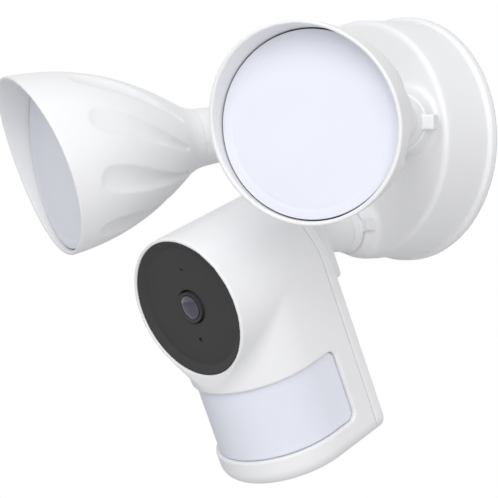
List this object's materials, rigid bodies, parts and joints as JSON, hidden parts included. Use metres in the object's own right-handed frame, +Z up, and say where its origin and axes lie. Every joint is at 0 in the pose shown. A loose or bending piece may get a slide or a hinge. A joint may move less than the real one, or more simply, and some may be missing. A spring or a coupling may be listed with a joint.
{
  "type": "floodlight security camera",
  "caption": "Wall-mounted security camera under two hooded floodlights, each head held by a ball joint with a lock ring on a round wall base.",
  "frame": {"origin": "centre of the wall bracket's screw circle, on the bracket's back face against the wall", "axes": "-Y runs out of the wall, +Z up, +X to the right of a person who faces the wall"},
  "size_m": [0.2857, 0.2028, 0.2436],
  "materials": {
    "white_plastic": "fine satin",
    "nylon": "natural nylon",
    "diffuser_plastic": "frosted",
    "dark_plastic": "smooth dark",
    "black_rubber": "matte",
    "grey_rubber": "closed-cell foam",
    "white_rubber": "soft matte",
    "zinc_steel": "zinc plated",
    "sink_aluminium": "as cast",
    "green_board": "solder mask",
    "white_board": "white mask",
    "led_phosphor": "phosphor",
    "winding": "tape",
    "black_parts": "moulded",
    "lens_glass": "coated"
  },
  "bodies": {
    "base": {"base_gasket": "grey_rubber", "wall_bracket": "zinc_steel", "base_housing": "white_plastic", "base_lock_screw": "zinc_steel", "driver_board": "green_board", "transformer": "winding", "capacitors": "black_parts", "terminal_block": "nylon", "driver_board_screws": "zinc_steel", "base_leads": "black_rubber"},
    "left_ring": {"left_lock_ring": "white_plastic"},
    "left_cup": {"left_ball_seat": "nylon"},
    "left_collar": {"left_ball_liner": "nylon"},
    "left_lamp": {"left_lamp_arm": "white_plastic", "left_lamp_hood": "white_plastic", "left_lamp_nut": "zinc_steel", "left_heat_sink": "sink_aluminium", "left_led_board": "white_board", "left_led_chips": "led_phosphor", "left_led_screws": "zinc_steel", "left_diffuser_seal": "black_rubber", "left_diffuser": "diffuser_plastic", "left_lamp_lead": "black_rubber"},
    "right_ring": {"right_lock_ring": "white_plastic"},
    "right_cup": {"right_ball_seat": "nylon"},
    "right_collar": {"right_ball_liner": "nylon"},
    "right_lamp": {"right_lamp_arm": "white_plastic", "right_lamp_hood": "white_plastic", "right_lamp_nut": "zinc_steel", "right_heat_sink": "sink_aluminium", "right_led_board": "white_board", "right_led_chips": "led_phosphor", "right_led_screws": "zinc_steel", "right_diffuser_seal": "black_rubber", "right_diffuser": "diffuser_plastic", "right_lamp_lead": "black_rubber"},
    "camera_ring": {"camera_lock_ring": "white_plastic"},
    "camera_cup": {"camera_ball_seat": "nylon"},
    "camera_collar": {"camera_ball_liner": "nylon"},
    "camera_head": {"camera_arm": "white_plastic", "camera_screws": "zinc_steel", "camera_rear_cover": "white_plastic", "camera_shell_seal": "black_rubber", "camera_shell": "white_plastic", "camera_face": "dark_plastic", "lens_barrel": "dark_plastic", "lens_glass": "lens_glass", "sensor_board": "green_board", "image_sensor": "black_parts", "infrared_leds": "black_parts", "microphone": "zinc_steel", "main_board": "green_board", "main_chips": "black_parts", "motion_window": "diffuser_plastic", "motion_sensor": "zinc_steel", "speaker": "black_parts", "reset_switch": "black_parts", "camera_lead": "black_rubber"},
    "plug": {"service_plug": "white_rubber"},
    "button": {"reset_button": "dark_plastic"}
  },
  "joints": [
    {"name": "left_ring_twist", "type": "hinge", "parent": "base", "child": "left_ring", "pos_m": [-0.04351, -0.05262, 0.009], "axis": [-0.4067, -0.9135, 0], "range_deg": [0, 60]},
    {"name": "left_lamp_yaw", "type": "hinge", "parent": "base", "child": "left_cup", "pos_m": [-0.04351, -0.05262, 0.009], "axis": [0, 0, 1], "range_deg": [-19.5, 8.5]},
    {"name": "left_lamp_pitch", "type": "hinge", "parent": "left_cup", "child": "left_collar", "pos_m": [-0.04351, -0.05262, 0.009], "axis": [-0.9239, 0.3827, 0], "range_deg": [-7, 28]},
    {"name": "left_lamp_spin", "type": "hinge", "parent": "left_collar", "child": "left_lamp", "pos_m": [-0.04351, -0.05262, 0.009], "axis": [-0.3772, -0.9107, -0.1685], "range_deg": [-60, 60]},
    {"name": "right_ring_twist", "type": "hinge", "parent": "base", "child": "right_ring", "pos_m": [0.04351, -0.05262, 0.009], "axis": [0.4067, -0.9135, 0], "range_deg": [-60, 0]},
    {"name": "right_lamp_yaw", "type": "hinge", "parent": "base", "child": "right_cup", "pos_m": [0.04351, -0.05262, 0.009], "axis": [0, 0, 1], "range_deg": [-10.6, 17.4]},
    {"name": "right_lamp_pitch", "type": "hinge", "parent": "right_cup", "child": "right_collar", "pos_m": [0.04351, -0.05262, 0.009], "axis": [-0.9092, -0.4163, 0], "range_deg": [-12, 19]},
    {"name": "right_lamp_spin", "type": "hinge", "parent": "right_collar", "child": "right_lamp", "pos_m": [0.04351, -0.05262, 0.009], "axis": [0.4163, -0.9092, -0.0105], "range_deg": [-60, 60]},
    {"name": "camera_ring_twist", "type": "hinge", "parent": "base", "child": "camera_ring", "pos_m": [0, -0.0441, -0.0485], "axis": [0, -1, 0], "range_deg": [-60, 0]},
    {"name": "camera_yaw", "type": "hinge", "parent": "base", "child": "camera_cup", "pos_m": [0, -0.0441, -0.0485], "axis": [0, 0, 1], "range_deg": [-12, 12]},
    {"name": "camera_pitch", "type": "hinge", "parent": "camera_cup", "child": "camera_collar", "pos_m": [0, -0.0441, -0.0485], "axis": [-1, 0, 0], "range_deg": [-12, 10]},
    {"name": "camera_spin", "type": "hinge", "parent": "camera_collar", "child": "camera_head", "pos_m": [0, -0.0441, -0.0485], "axis": [0, -1, 0], "range_deg": [-15, 15]},
    {"name": "service_plug_pull", "type": "slide", "parent": "camera_head", "child": "plug", "axis": [0, 0.4226, -0.9063], "range_m": [0, 0.008]},
    {"name": "reset_button_press", "type": "slide", "parent": "camera_head", "child": "button", "axis": [0, -0.4226, 0.9063], "range_m": [0, 0.0008], "stiffness_N_per_m": 400, "springref_m": -0.0005}
  ]
}
